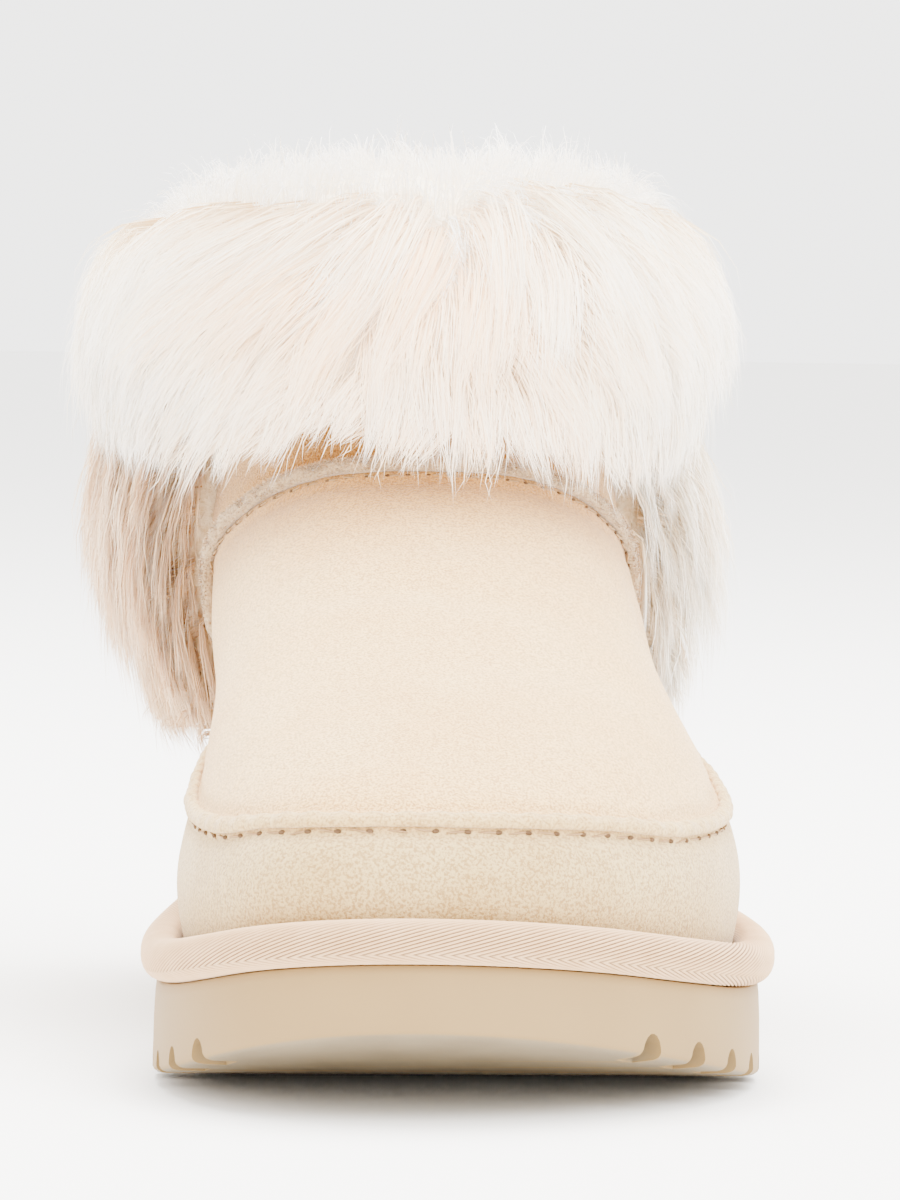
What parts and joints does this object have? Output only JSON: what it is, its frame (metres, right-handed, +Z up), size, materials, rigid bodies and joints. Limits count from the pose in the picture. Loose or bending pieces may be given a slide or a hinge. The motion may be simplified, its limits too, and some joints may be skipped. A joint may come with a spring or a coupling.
{
  "type": "fur-trimmed ankle boot",
  "caption": "Left low ankle boot in suede sheepskin: apron toe, moulded notched sole with a bound welt, and long fur over collar, sides and heel.",
  "frame": {"origin": "On the floor, under the middle of the boot's bounding box.", "axes": "+Y points from toe to heel, +X to the outer side of this left foot, +Z up. The sole's heel and forefoot flats lie at z = 0."},
  "size_m": [0.1226, 0.2812, 0.1585],
  "materials": {
    "moulded_foam_rubber": "matt moulded foam rubber, light beige",
    "cotton_twill_tape": "matt herringbone twill tape, pinkish cream",
    "sheepskin_suede": "cream suede with a fine short nap",
    "clipped_fleece": "clipped sheep fleece, cream",
    "seam_fleece": "fuzzy turned-out seam edge, light tan",
    "long_sheep_fur": "long combed sheep fur, ivory"
  },
  "bodies": {
    "root": {"outsole": "moulded_foam_rubber", "welt": "cotton_twill_tape", "upper": "sheepskin_suede", "insole": "clipped_fleece", "apron_seam": "sheepskin_suede", "collar_seam": "seam_fleece", "fur_collar": "long_sheep_fur", "fur_quarters": "long_sheep_fur"}
  },
  "joints": []
}
